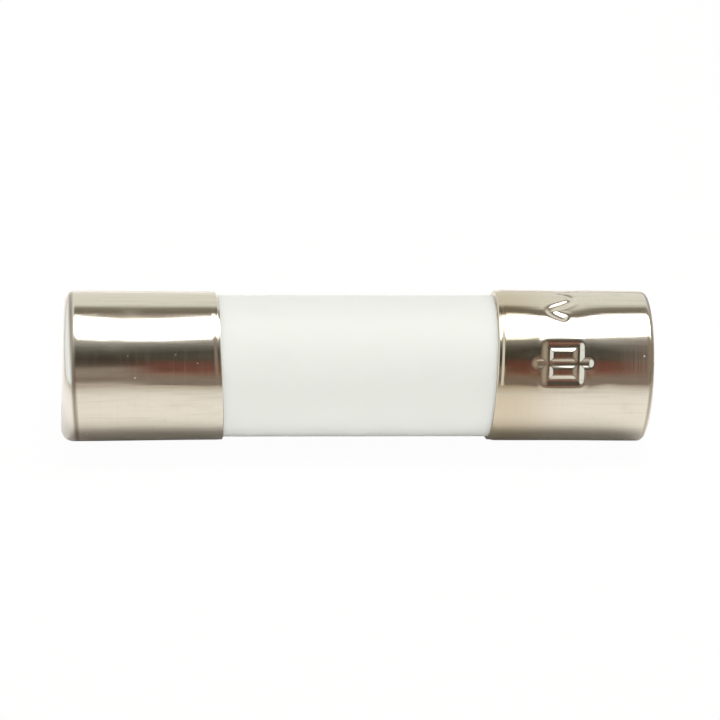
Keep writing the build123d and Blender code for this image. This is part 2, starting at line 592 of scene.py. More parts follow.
def ceramic_material():
    """Fired ceramic with a thin satin glaze and a few grey specks."""
    made, tree = new_material(
        "ceramic",
        IOR=1.5,
        Specular_IOR_Level=0.3,
        Subsurface_Weight=0.6,
        Subsurface_Radius=(1.0, 0.95, 0.85),
        Subsurface_Scale=0.7 * MM,
    )
    base = bpy.context.scene.fuse_finish.ceramic
    clouds = effect(tree, "Smudges", Size=0.5, Cover=0.5)
    specks = effect(tree, "Specks", Spacing=1.3, Size=0.06, Share=0.3)
    grain = effect(tree, "Grain", Size=5.0)
    body = blended(tree, clouds["Mask"], shaded(base, 1.0), shaded(base, 0.985))
    return dressed(
        made,
        grain["Height"],
        0.003 * MM,
        Base_Color=blended(tree, specks["Mask"], body, SPECK_COLOUR),
        Roughness=maths(tree, "MULTIPLY_ADD", grain["Height"], 0.2, 0.44),
    )


def solder_material():
    """Tin solder that froze with a slightly frosted, lumpy skin."""
    made, tree = new_material("solder", Metallic=1.0)
    base = bpy.context.scene.fuse_finish.solder
    smudges = effect(tree, "Smudges", Size=1.6, Cover=0.6)
    grain = effect(tree, "Grain", Size=3.0)
    return dressed(
        made,
        grain["Height"],
        0.02 * MM,
        Base_Color=blended(tree, smudges["Mask"], shaded(base, 1.05), shaded(base, 0.8)),
        Roughness=maths(tree, "MULTIPLY_ADD", smudges["Mask"], 0.2, 0.25),
    )


def fibre_material():
    """Pressed vulcanised fibre, mottled and matt."""
    made, tree = new_material("sealing fibre", Roughness=0.9)
    base = bpy.context.scene.fuse_finish.fibre
    grain = effect(tree, "Grain", Size=9.0)
    flecks = effect(tree, "Specks", Spacing=0.3, Size=0.12, Share=0.5)
    body = blended(tree, grain["Height"], shaded(base, 0.7), shaded(base, 1.4))
    mottled = blended(tree, flecks["Mask"], body, shaded(base, 1.9))
    return dressed(made, grain["Height"], 0.02 * MM, Base_Color=mottled)


def glass_material():
    """Glass yarn: white and silky, with a sheen along its filaments."""
    made, tree = new_material("glass yarn", IOR=1.5, Sheen_Weight=0.2)
    base = bpy.context.scene.fuse_finish.glass
    grain = effect(tree, "Grain", Size=14.0, Stretch=0.8)
    return dressed(
        made,
        grain["Height"],
        0.004 * MM,
        Base_Color=blended(tree, grain["Height"], shaded(base, 0.85), shaded(base, 1.1)),
        Roughness=maths(tree, "MULTIPLY_ADD", grain["Height"], 0.3, 0.2),
    )


def copper_material():
    """Copper wire with a bright tinned skin, worn to copper in places."""
    made, tree = new_material("tinned copper", Metallic=1.0)
    base = bpy.context.scene.fuse_finish.copper
    worn = effect(tree, "Smudges", Size=2.4, Cover=0.25)
    marks = effect(tree, "Drawing marks", Along=1.0, Round=0.2, Size=30.0)
    return dressed(
        made,
        marks["Height"],
        0.0012 * MM,
        Base_Color=blended(tree, worn["Mask"], shaded(base, 1.0), BARE_COPPER),
        Roughness=maths(tree, "MULTIPLY_ADD", marks["Mask"], 0.3, 0.16),
    )


def quartz_material():
    """Grains of quartz from clear grey to honey, packed tight."""
    made, tree = new_material("quartz sand", IOR=1.54)
    base = bpy.context.scene.fuse_finish.quartz
    grain = effect(tree, "Grain", Size=4.0)
    flecks = effect(tree, "Specks", Spacing=0.26, Size=0.2, Share=0.35)
    body = blended(tree, grain["Height"], shaded(base, 0.65), shaded(base, 1.3))
    return dressed(
        made,
        grain["Height"],
        0.02 * MM,
        Base_Color=blended(tree, flecks["Mask"], body, CLEAR_GRAIN),
        Roughness=maths(tree, "MULTIPLY_ADD", flecks["Mask"], -0.25, 0.5),
    )


def finished_piece(piece, slot, *nodes):
    """A piece takes its place in the model: it rides on the body and stands for its CAD nodes."""
    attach(piece, BODY)
    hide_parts(*nodes)


# End caps

# As the camera stands, the side of the barrel on top of the outline and the side that faces it, and how far
# the crown of a barrel reaches round from there
UPRIGHT = math.radians(119)
FACING = math.radians(31)
FACING_REACH = math.radians(48)

# The small faults of the left cap and of the right one, in millimetres
CAP_SIZES = {
    "corner": (0.45, 0.24),  # radius between the end face and the barrel
    "dish": (0.04, 0.045),  # of the end face
    "rim_round": (0.03, 0.05),
    "seat": (0.03, -0.05),  # how far the rim stands to the right of its place
    "swell": (-0.013, 0.0),
    "rim_lean": (-0.12, 0.12),
    "end_lean": (0.049, 0.041),
    "crown_at": (-7.5, 7.3),
    "lift": (0.014, 0.038),  # of the rim, upright
    "taper": (0.034, -0.006),  # towards the rim
    "crimp": (0.006, 0.024),  # of the lip at the rim
    # where the painted reflection line runs round the corner, and how wide it is
    "tarnish_at": (9.60, 9.865),
    "tarnish_width": (0.13, 0.1),
    "tint_from": (0.0, 2.6),  # to the right of the rim, as is where the tint is full
    "tint_to": (3.0, 0.2),
}
# Their waves' seeds, their crowns' curvature, and how dark their painted reflection line is and how far it
# leans
CAP_TRAITS = {"seed": (10, 12), "crown": (12.0, 7.0), "tarnish": (0.85, 0.7), "tarnish_lean": (0.055, -0.03)}
# A dent: its place along the cap, its angle, how far it reaches along and round, and its depth
DENTS = (
    [(-8.35 * MM, math.radians(47), 0.30 * MM, 0.32 * MM, 0.006 * MM)],
    [(8.42 * MM, math.radians(8), 0.35 * MM, 0.30 * MM, 0.006 * MM)],
)
CAP_FORMS = {
    side: {
        **{name: sizes[column] * MM for name, sizes in CAP_SIZES.items()},
        **{name: values[column] for name, values in CAP_TRAITS.items()},
        "dents": DENTS[column],
    }
    for column, side in enumerate((-1, 1))
}

# The lip at the rim is crimped up to the first distance from the rim, and fully up to the second
CRIMPED = (0.25 * MM, 0.1 * MM)

# How finely the barrels are divided along the axis: in the lip, under the symbols and elsewhere
LIP = 0.36 * MM
LIP_STEP = 0.03 * MM
SYMBOL_STEP = 0.024 * MM
PLAIN_STEPS = {-1: 0.055 * MM, 1: 0.06 * MM}
# How far the fine steps reach from the middle of a symbol, as shares of its size
FINE_ALONG, FINE_ROUND = 0.6, 0.64

# The symbols. Their strokes' width and their sizes are settings
BOX_HEIGHT = 1.25 * MM
WAVE_HEIGHT = 0.8 * MM
DOT_DIAMETER = 0.34 * MM
DOT_SHOULDER = 0.6  # as a share of a stroke's
BURR = 0.006 * MM  # along the strokes
DRAWN_DOWN = 0.075 * MM  # of the barrel round each symbol
DRAWN_ROUND, DRAWN_ALONG = 0.68 * MM, 0.9 * MM  # how far that reaches


def dents(x, angle, places):
    """Shallow round dents."""
    total = np.zeros_like(x)
    for middle, turn, length, width, depth in places:
        across = turn_between(angle, turn) * Sizes.cap_radius
        total -= depth * hump(x - middle, length) * hump(across, width)
    return total


def symbol_lines(settings):
    """The lines of each stamped symbol, as points across and along the barrel, in the order of their angles.

    Each comes with the width of its stroke and of its rounded edge. They are the circuit symbol of a fuse,
    the sign for alternating current and a row of dots.
    """
    half_width = (settings.width - settings.stroke) / 2
    half_height = (settings.height - settings.stroke) / 2
    half_box = (BOX_HEIGHT - settings.stroke) / 2
    corners = ((-1, -1), (1, -1), (1, 1), (-1, 1), (-1, -1))
    box = [(across * half_width, along * half_box) for across, along in corners]
    conductor = [(0, -half_height), (0, half_height)]
    steps = np.linspace(-0.5, 0.5, 25)
    wave = [(step * settings.width, WAVE_HEIGHT / 2 * math.sin(2 * math.pi * step)) for step in steps]
    dots = [[(number * settings.width / 3, 0)] for number in (-1, 0, 1)]
    return [
        ([box, conductor], settings.stroke, settings.shoulder),
        ([wave], settings.stroke, settings.shoulder),
        (dots, DOT_DIAMETER, DOT_SHOULDER * settings.shoulder),
    ]


def stamps(x, angle):
    """The relief of the symbols: sunk strokes with soft shoulders, and the barrel drawn down round them."""
    settings = bpy.context.scene.fuse_stamps
    total = np.zeros_like(x)
    for number, (lines, stroke, shoulder) in enumerate(symbol_lines(settings)):
        soft = shoulder / 2
        middle = settings.first + number * settings.step
        across = turn_between(angle, middle) * Sizes.cap_radius
        along = x - settings.middle
        distance = np.min([stroke_distance(across, along, points) for points in lines], axis=0)
        total -= settings.depth * (1 - smooth_step(stroke / 2 - soft, stroke / 2 + soft, distance))
        total += BURR * hump(distance - stroke / 2 - 1.6 * soft, soft)
        total -= DRAWN_DOWN * hump(across, DRAWN_ROUND) * hump(along, DRAWN_ALONG)
    return total


def cap_section(side, steps):
    """The half section of a cap, from the middle of its end face over the barrel and back to its floor.

    The steps are those of the barrel, from the corner to the rim.
    """
    radius, corner, rim_round = Sizes.cap_radius, CAP_FORMS[side]["corner"], CAP_FORMS[side]["rim_round"]
    inside = Sizes.tube_radius + 0.004 * MM
    inner_rim_round, inner_corner = 0.02 * MM, 0.2 * MM
    far = Sizes.half_length
    start = far - corner
    end = Sizes.rim + rim_round
    barrel = np.stack([start - steps, np.full_like(steps, radius)], axis=-1)
    section = joined(
        line((far, 0), (far, radius - corner), 16),
        arc(start, radius - corner, corner, 0, 90, 20),
        np.concatenate([barrel, [(end, radius)]]),
        arc(end, radius - rim_round, rim_round, 90, 180, 7),
        line((Sizes.rim, radius - rim_round), (Sizes.rim, inside + inner_rim_round), 2),
        arc(Sizes.rim + inner_rim_round, inside + inner_rim_round, inner_rim_round, 180, 270, 3),
        line((Sizes.rim + inner_rim_round, inside), (Sizes.floor - inner_corner, inside), 12),
        arc(Sizes.floor - inner_corner, inside - inner_corner, inner_corner, 90, 0, 5),
        line((Sizes.floor, inside - inner_corner), (Sizes.floor, 0), 8),
    )
    return section * (side, 1)


def cap_relief(side, section):
    """How far each point of a cap's outside stands off the plain shape, along the axis and away from it."""
    settings = bpy.context.scene.fuse_caps
    form = CAP_FORMS[side]
    x_of = np.abs(section[:, 0])
    outside = np.arange(len(section)) < np.argmax(x_of == x_of.min()) + 4
    skin = outside * smooth_step(Sizes.half_length, Sizes.half_length - form["corner"], x_of)
    from_rim = x_of - Sizes.rim
    share = np.clip(from_rim / cap_length, 0, 1)
    out = np.minimum(section[:, 1] / (Sizes.cap_radius - form["corner"]), 1)
    bowl = outside * (1 - out**2) ** 2
    ring = outside * out * (1 - out**2)

    def shift(number, angle):
        x = section[number, 0]
        near_rim = 1 - share[number]
        upright = np.cos(angle - UPRIGHT)
        facing = hump(turn_between(angle, FACING), FACING_REACH)
        lean = form["rim_lean"] * near_rim + form["end_lean"] * share[number]
        along = outside[number] * (lean * upright * section[number, 1] / Sizes.cap_radius)
        along = along + outside[number] * form["seat"] * near_rim
        rippled = waves(section[number, 1], angle, settings.unevenness, seed=form["seed"] + 1)
        along = along - side * (form["dish"] * bowl[number] + ring[number] * rippled)
        away = waves(x, angle, settings.unevenness, seed=form["seed"], shortest=2.2 * MM)
        away -= form["crown"] * (x - form["crown_at"]) ** 2 * facing
        away += form["lift"] * near_rim * upright + form["swell"]
        away -= form["taper"] * smooth_step(0, 1, near_rim)
        away -= form["crimp"] * smooth_step(*CRIMPED, from_rim[number])
        away += dents(x, angle, form["dents"])
        if side > 0:
            away += stamps(x, angle)
        return along, away * skin[number]

    return shift


class FUSE_OT_end_caps(Operator):
    """Builds the two plated end caps, with the symbols stamped into the right one"""

    bl_idname = "fuse.end_caps"
    bl_label = "End caps"

    def execute(self, context):
        around = context.scene.fuse_caps.around
        stamp = context.scene.fuse_stamps
        length = {side: cap_length - form["corner"] - form["rim_round"] for side, form in CAP_FORMS.items()}
        near = length[1] + CAP_FORMS[1]["rim_round"] + Sizes.rim - stamp.middle - FINE_ALONG * stamp.height
        far = near + 2 * FINE_ALONG * stamp.height
        plain = spread(0, length[-1], length[-1] - LIP, length[-1], LIP_STEP, PLAIN_STEPS[-1])
        stamped = spread(0, length[1] - LIP, near, far, SYMBOL_STEP, PLAIN_STEPS[1])
        steps = {-1: plain, 1: np.append(stamped, stepped(length[1] - LIP, length[1], LIP_STEP))}
        even = 2 * math.pi / around
        margin = FINE_ROUND * stamp.width / Sizes.cap_radius
        first, last = stamp.first - margin, stamp.first + 2 * stamp.step + margin
        angles = {-1: all_round(around), 1: spread(first, first + 2 * math.pi, first, last, 0.5 * even, even)}
        for side, name in ((-1, "end_cap_left"), (1, "end_cap_right")):
            section = cap_section(side, steps[side])
            material = nickel_material(name.replace("_", " "), side)
            relief = cap_relief(side, section)
            cap = lathe(f"{name}_plated", section, angles[side], material, shift=relief)
            finished_piece(cap, "nickel_plate", name)
        return {"FINISHED"}


# Ceramic tube


class FUSE_OT_ceramic_tube(Operator):
    """Builds the fired ceramic tube"""

    bl_idname = "fuse.ceramic_tube"
    bl_label = "Ceramic tube"

    def execute(self, context):
        outer, bore, half = Sizes.tube_radius, Sizes.bore_radius, Sizes.half_tube
        edge, chamfer = 0.2 * MM, 0.15 * MM
        section = joined(
            line((half - edge, outer), (edge - half, outer), 160),
            arc(edge - half, outer - edge, edge, 90, 180, 8),
            line((-half, outer - edge), (-half, bore + chamfer), 4),
            line((-half, bore + chamfer), (chamfer - half, bore), 2),
            line((chamfer - half, bore), (half - chamfer, bore), 60),
            line((half - chamfer, bore), (half, bore + chamfer), 2),
            line((half, bore + chamfer), (half, outer - edge), 4),
            arc(half - edge, outer - edge, edge, 0, 90, 8)[:-1],
        )

        def shift(number, angle):
            outside = smooth_step(bore, outer, section[number, 1])
            return 0, outside * waves(section[number, 0], angle, 0.0012 * MM, seed=5)

        material = ceramic_material()
        tube = lathe("ceramic_tube_fired", section, all_round(320), material, closed=True, shift=shift)
        finished_piece(tube, "white_ceramic", "ceramic_tube")
        return {"FINISHED"}


# Inside the tube


class FUSE_OT_solder_pads(Operator):
    """Builds the pad of solder in the floor of each cap"""

    bl_idname = "fuse.solder_pads"
    bl_label = "Solder pads"

    def execute(self, context):
        radius, edge = Sizes.solder_radius, 0.12 * MM
        inner, floor = Sizes.half_tube, Sizes.floor
        material = solder_material()
        for side, name in ((-1, "solder_pad_left"), (1, "solder_pad_right")):
            section = joined(
                line((floor, 0), (floor, radius), 30),
                line((floor, radius), (inner + edge, radius), 4),
                arc(inner + edge, radius - edge, edge, 90, 180, 6)[:-1],
                line((inner, radius - edge), (inner, 0), 48),
            )
            section = section * (side, 1)
            pad = lathe(f"{name}_frozen", section, all_round(220), material)
            self.make_lumpy(pad, side)
            finished_piece(pad, "solder", name)
        return {"FINISHED"}

    def make_lumpy(self, pad, side):
        """Sinks the free surface of the pad a little, unevenly, with a raised collar round the element."""
        count = len(pad.data.vertices)
        points = np.empty(count * 3)
        pad.data.vertices.foreach_get("co", points)
        points = points.reshape(-1, 3)
        distance = np.hypot(points[:, 1], points[:, 2])
        angle = np.arctan2(points[:, 2], -points[:, 1])
        free = np.abs(np.abs(points[:, 0]) - Sizes.half_tube) < 0.001 * MM
        depth = 0.012 * MM + waves(distance, angle, 0.003 * MM, seed=31 + side, shortest=0.5 * MM)
        depth -= 0.02 * MM * hump(distance - Sizes.winding_outside, 0.12 * MM)
        inside_bore = smooth_step(Sizes.bore_radius, Sizes.bore_radius - 0.1 * MM, distance)
        points[:, 0] += side * free * inside_bore * np.maximum(depth, 0)
        pad.data.vertices.foreach_set("co", points.ravel())
        pad.data.update()


class FUSE_OT_sealing_discs(Operator):
    """Builds the fibre disc that closes each end of the bore"""

    bl_idname = "fuse.sealing_discs"
    bl_label = "Sealing discs"

    def execute(self, context):
        outer, hole = Sizes.bore_radius, Sizes.winding_outside + 0.01 * MM
        near, far, edge = Sizes.half_sand, Sizes.half_tube, 0.03 * MM
        material = fibre_material()
        for side, name in ((-1, "sealing_disc_left"), (1, "sealing_disc_right")):
            section = joined(
                line((far - edge, outer), (near + edge, outer), 8),
                arc(near + edge, outer - edge, edge, 90, 180, 4),
                line((near, outer - edge), (near, hole + edge), 24),
                arc(near + edge, hole + edge, edge, 180, 270, 4),
                line((near + edge, hole), (far - edge, hole), 8),
                arc(far - edge, hole + edge, edge, 270, 360, 4),
                line((far, hole + edge), (far, outer - edge), 24),
                arc(far - edge, outer - edge, edge, 0, 90, 4)[:-1],
            )
            section = section * (side, 1)

            def shift(number, angle):
                ragged = waves(section[number, 0], angle * 5, 0.0016 * MM, seed=41 + side, shortest=0.2 * MM)
                return 0, -np.abs(ragged) * smooth_step(hole, outer, section[number, 1])

            disc = lathe(f"{name}_pressed", section, all_round(200), material, closed=True, shift=shift)
            finished_piece(disc, "sealing_fibre", name)
        return {"FINISHED"}


def tube_along(path, radius, sides):
    """Points and four-cornered faces of a round tube along a path, with flat ends left open."""
    way = np.gradient(path, axis=0)
    way /= np.linalg.norm(way, axis=1, keepdims=True)
    first = np.cross(way, (1.0, 0.0, 0.0))
    first /= np.linalg.norm(first, axis=1, keepdims=True)
    second = np.cross(way, first)
    turns = all_round(sides)
    radius = np.broadcast_to(radius, len(path))[:, None, None]
    ring = np.cos(turns)[None, :, None] * first[:, None] + np.sin(turns)[None, :, None] * second[:, None]
    points = (path[:, None] + radius * ring).reshape(-1, 3)
    rows, columns = np.meshgrid(np.arange(len(path) - 1), np.arange(sides), indexing="ij")
    row, column = rows.ravel() * sides, columns.ravel()
    beside = (column + 1) % sides
    faces = np.stack([row + column, row + beside, row + sides + beside, row + sides + column], axis=-1)
    return points, faces


def wires_object(name, tubes, sides, material):
    """One object made of several round tubes, each closed by a flat face at both ends."""
    mesh = bpy.data.meshes.new(name)
    points, rows, start = [], [], 0
    for tube_points, faces in tubes:
        points.append(tube_points)
        rows += (faces + start).tolist()
        last = start + len(tube_points)
        rows.append(list(range(start + sides - 1, start - 1, -1)))
        rows.append(list(range(last - sides, last)))
        start = last
    mesh.from_pydata(np.concatenate(points).tolist(), [], rows)
    mesh.polygons.foreach_set("use_smooth", np.array([len(row) == 4 for row in rows]))
    mesh.materials.append(material)
    mesh.update()
    return placed(name, mesh)


class FUSE_OT_core_strands(Operator):
    """Builds the twisted strands of glass yarn, each a bundle of filaments"""

    bl_idname = "fuse.core_strands"
    bl_label = "Core strands"

    def execute(self, context):
        settings = context.scene.fuse_element
        material = glass_material()
        half = Sizes.half_element
        x = np.linspace(-half, half, 260)
        twist = 2 * math.pi * (x + half) / settings.strand_pitch
        offset = Sizes.core_outside - settings.strand_diameter / 2
        filament = settings.strand_diameter / 10
        # The rings of filaments in a strand: how far each is from the middle, and how many are in it
        rings = ((0, 1), (2 * filament, 6), (3.9 * filament, 12))
        sides = 6
        for number in range(3):
            name = f"core_strand_{number + 1}"
            turned = twist + number * 2 * math.pi / 3
            middle = np.stack([x, offset * np.cos(turned), offset * np.sin(turned)], axis=-1)
            tubes = []
            for distance, count in rings:
                for place_in_ring in range(count):
                    lay = place_in_ring * 2 * math.pi / count + 2.4 * twist
                    aside = np.stack([0 * x, distance * np.cos(lay), distance * np.sin(lay)], axis=-1)
                    tubes.append(tube_along(middle + aside, filament, sides))
            strand = wires_object(f"{name}_yarn", tubes, sides, material)
            finished_piece(strand, "glass_yarn", name)
        return {"FINISHED"}


class FUSE_OT_fuse_wire(Operator):
    """Builds the fuse wire, wound round the core"""

    bl_idname = "fuse.fuse_wire"
    bl_label = "Fuse wire"

    def execute(self, context):
        settings = context.scene.fuse_element
        thick = settings.wire_diameter / 2
        half = Sizes.half_element
        turns = 2 * half / settings.wire_pitch
        share = np.linspace(0, 1, int(turns * 36))
        angle = share * turns * 2 * math.pi
        radius = Sizes.winding_outside - thick
        path = np.stack([half * (2 * share - 1), radius * np.cos(angle), radius * np.sin(angle)], axis=-1)
        sides = 12
        wire = wires_object("fuse_wire_wound", [tube_along(path, thick, sides)], sides, copper_material())
        finished_piece(wire, "tinned_copper", "fuse_wire")
        return {"FINISHED"}


def grains(x, angle, radius, size, seed):
    """The depth of the gaps between packed grains, from 0 on top of a grain to 1 at its edge."""
    random = np.random.default_rng(seed)
    around = int(round(2 * math.pi * radius / size))
    along = int(round(2 * Sizes.half_sand / size)) + 2
    jitter = random.uniform(0.1, 0.9, (around, along, 2))
    across = (angle % (2 * math.pi)) / (2 * math.pi) * around
    down = (x + Sizes.half_sand) / size + 1
    best = np.full(x.shape, 9.0)
    for side_step in (-1, 0, 1):
        for down_step in (-1, 0, 1):
            column = np.floor(across).astype(int) + side_step
            row = np.floor(down).astype(int) + down_step
            found = jitter[column % around, np.clip(row, 0, along - 1)]
            gap = np.hypot(column + found[..., 0] - across, row + found[..., 1] - down)
            best = np.minimum(best, gap)
    return np.clip(best, 0, 1)


class FUSE_OT_quartz_sand(Operator):
    """Builds the quartz sand, packed round the element"""

    bl_idname = "fuse.quartz_sand"
    bl_label = "Quartz sand"

    def execute(self, context):
        size = context.scene.fuse_element.grain
        outer, hole, half = Sizes.bore_radius, Sizes.winding_outside + 0.01 * MM, Sizes.half_sand
        section = joined(
            line((half, outer), (-half, outer), 300),
            line((-half, outer), (-half, hole), 14),
            line((-half, hole), (half, hole), 90),
            line((half, hole), (half, outer), 14)[:-1],
        )

        def shift(number, angle):
            gaps = grains(section[number, 0], angle, outer, size, seed=61)
            return 0, -0.45 * size * gaps**2 * smooth_step(hole, outer, section[number, 1])

        material = quartz_material()
        sand = lathe("quartz_sand_packed", section, all_round(200), material, closed=True, shift=shift)
        finished_piece(sand, "quartz", "quartz_sand")
        return {"FINISHED"}


# Studio

# What the room holds at each height round the fuse's axis, in degrees: 0 is level in front, 90 straight up
# and 180 level behind. Its front is brown on the right and grey on the left.
BEHIND = (
    (107, (0.40, 0.32, 0.26)),
    (120, (0.18, 0.155, 0.12)),
    (128, (0.28, 0.25, 0.20)),
    (136, (0.915, 0.905, 0.83)),
)
RIGHT_ROOM = (
    (-180, (1.0, 1.0, 1.0)),
    (-1, (0.22, 0.17, 0.14)),
    (1.5, (0.20, 0.155, 0.13)),
    (4, (0.27, 0.215, 0.18)),
    (11, (0.28, 0.22, 0.185)),
    (16, (0.27, 0.16, 0.12)),
    (21, (0.23, 0.09, 0.062)),
    (33, (0.17, 0.066, 0.046)),
    (39, (0.087, 0.075, 0.058)),
    (49, (0.08, 0.074, 0.06)),
    (58, (0.175, 0.168, 0.15)),
    (66, (0.42, 0.40, 0.38)),
    *BEHIND,
)
LEFT_ROOM = (
    (-180, (1.0, 1.0, 1.0)),
    (1, (0.55, 0.50, 0.45)),
    (7, (0.25, 0.19, 0.155)),
    (20, (0.36, 0.30, 0.25)),
    (26, (0.30, 0.24, 0.20)),
    (30, (0.10, 0.075, 0.057)),
    (40, (0.06, 0.047, 0.034)),
    (49, (0.10, 0.095, 0.075)),
    (58, (0.23, 0.225, 0.20)),
    (66, (0.45, 0.43, 0.40)),
    *BEHIND,
)
# The softbox, as a share of SOFTBOX_LIGHT: brightest towards the front
SOFTBOX = ((66, 0.0), (69, 0.5), (76, 0.6), (80, 1.0), (87, 1.0), (92, 0.6), (140, 0.4))
SOFTBOX_LIGHT = 5.6
# Its front edge curves back to both sides, with the square of how far aside it is, up to a most. Its back
# edge bows forward over the middle and steps back on the right. All but the asides are heights, in degrees.
FRONT_MIDDLE, FRONT_CURVE, FRONT_MOST = 0.03, 230, 8.5
BACK_EDGE = (113, 111)
BOW, BOW_MIDDLE, BOW_REACH = 7, 0.035, 0.07
BACK_STEP, BACK_STEP_ASIDE = 3, (0.08, 0.16)

# Where the front changes from the left room to the right one, and where the room ends on the left and right
ROOM_JOIN = (0.03, 0.065)
ROOM_LEFT, ROOM_RIGHT = (-0.30, -0.16), (0.222, 0.208)
SOFTBOX_RIGHT = (0.68, 0.64)
# The heights between which the room is mottled, as shares of the way round, each with a soft edge
MOTTLED_FROM, MOTTLED_TO = (0.51, 0.56), (0.70, 0.66)

# The wall on the right, from near to far aside and at the top, and the one on the left
WALL_ASIDE, WALL_HEIGHT, LEFT_WALL_ASIDE = (0.3, 0.8), (0.85, 0.9), (0.0, -0.1)
WALL_NEAR, WALL_FAR = (0.30, 0.235, 0.195, 1), (0.50, 0.43, 0.34, 1)
WALL_TOP = (0.9, 0.9, 0.9, 1)
LEFT_WALL_SEEN, LEFT_WALL_SHED = (1.0, 1.03, 1.03, 1), (0.38, 0.30, 0.24, 1)

WHITE = (1, 1, 1, 1)

# The fill light, in metres and watts
FILL_PLACE, FILL_SIZE, FILL_POWER = (0, -0.35, 0.06), (0.24, 0.12), 0.60

# The falloff of the floor's light, painted into the paper's colour as painted shade: how pale it is from
# under the fuse to a reach in front of it, in millimetres, and beyond the left and right ends
PAINTED_FALLOFF = (
    (0.03, 0.92),
    (0.05, 0.88),
    (0.09, 0.79),
    (0.15, (0.63, 0.605, 0.565)),
    (0.45, (0.47, 0.43, 0.385)),
    (1.0, (0.33, 0.285, 0.24)),
)
PAINTED_FALLOFF_REACH = 160.0
PAINTED_DIM_LEFT, PAINTED_DIM_RIGHT = (0.60, 0.58, 0.56, 1), (0.25, 0.23, 0.205, 1)
PAINTED_SHADOW = (0.56, 0.56, 0.56, 1)
# Where painted shade darkens the paper beyond the ends, from DIM_MIDDLE outwards and from front to back, and
# where the painted shadow under the fuse fades out along it and across it
DIM_MIDDLE, DIM_ALONG, DIM_ACROSS = -2.0, (12.0, 32.0), (-14.0, -4.0)
SHADOW_MIDDLE, SHADOW_ALONG, SHADOW_ACROSS = 0.3, (10.3, 9.5), (2.9, 1.7)


def height_share(degrees):
    """Where a height round the fuse's axis falls on a ramp that runs all the way round."""
    return (degrees + 180) / 360


def turned(stops):
    """Stops of a ramp whose places are heights in degrees."""
    return [(height_share(degrees), shade) for degrees, shade in stops]


def room_colour(tree, aside, height, share):
    """What stands in front of the fuse, mottled, and behind it."""
    stretched = {0: maths(tree, "MULTIPLY", aside, 110.0), 1: maths(tree, "MULTIPLY", height, 6.0)}
    patches = noise(tree, add_node(tree, "ShaderNodeCombineXYZ", stretched).outputs[0], 1.0, 4.0, 0.6)
    mottle = maths(tree, "MULTIPLY_ADD", between(tree, patches, 0.36, 0.66), 0.8, 0.6)
    grey = add_node(tree, "ShaderNodeCombineColor", {0: mottle, 1: mottle, 2: mottle}).outputs[0]
    left, right = (ramp(tree, share, turned(stops)) for stops in (LEFT_ROOM, RIGHT_ROOM))
    room = blended(tree, between(tree, aside, *ROOM_JOIN), left, right)
    front = maths(tree, "MULTIPLY", between(tree, share, *MOTTLED_FROM), between(tree, share, *MOTTLED_TO))
    return blended(tree, front, room, grey, "MULTIPLY")


def softbox_light(tree, aside, share):
    """The strength of the softbox, between its curved edges."""
    off_middle = maths(tree, "SUBTRACT", aside, FRONT_MIDDLE)
    curve = maths(tree, "MULTIPLY", maths(tree, "MULTIPLY", off_middle, off_middle), FRONT_CURVE / 360)
    uncurved = maths(tree, "SUBTRACT", share, maths(tree, "MINIMUM", curve, FRONT_MOST / 360))
    softbox = ramp(tree, uncurved, turned(SOFTBOX))
    bow = maths(tree, "DIVIDE", maths(tree, "SUBTRACT", aside, BOW_MIDDLE), BOW_REACH)
    bow = maths(tree, "SUBTRACT", 1.0, maths(tree, "MULTIPLY", bow, bow))
    bowed = maths(tree, "MULTIPLY_ADD", maths(tree, "MAXIMUM", bow, 0.0), BOW / 360, share)
    bowed = maths(tree, "MULTIPLY_ADD", between(tree, aside, *BACK_STEP_ASIDE), -BACK_STEP / 360, bowed)
    back_edge = between(tree, bowed, *(height_share(degrees) for degrees in BACK_EDGE))
    ends = maths(tree, "MULTIPLY", between(tree, aside, *ROOM_LEFT), between(tree, aside, *SOFTBOX_RIGHT))
    light = maths(tree, "MULTIPLY", maths(tree, "MULTIPLY", softbox, SOFTBOX_LIGHT), back_edge)
    return maths(tree, "MULTIPLY", light, ends)


def wall_colour(tree, aside, share, is_diffuse):
    """The brown wall on the right and the pale one on the left, which sheds less light than it shows."""
    dark_wall = blended(tree, between(tree, aside, *WALL_ASIDE), WALL_NEAR, WALL_FAR)
    wall = blended(tree, between(tree, share, *WALL_HEIGHT), dark_wall, WALL_TOP)
    left_wall = blended(tree, is_diffuse, LEFT_WALL_SEEN, LEFT_WALL_SHED)
    return blended(tree, between(tree, aside, *LEFT_WALL_ASIDE), wall, left_wall)


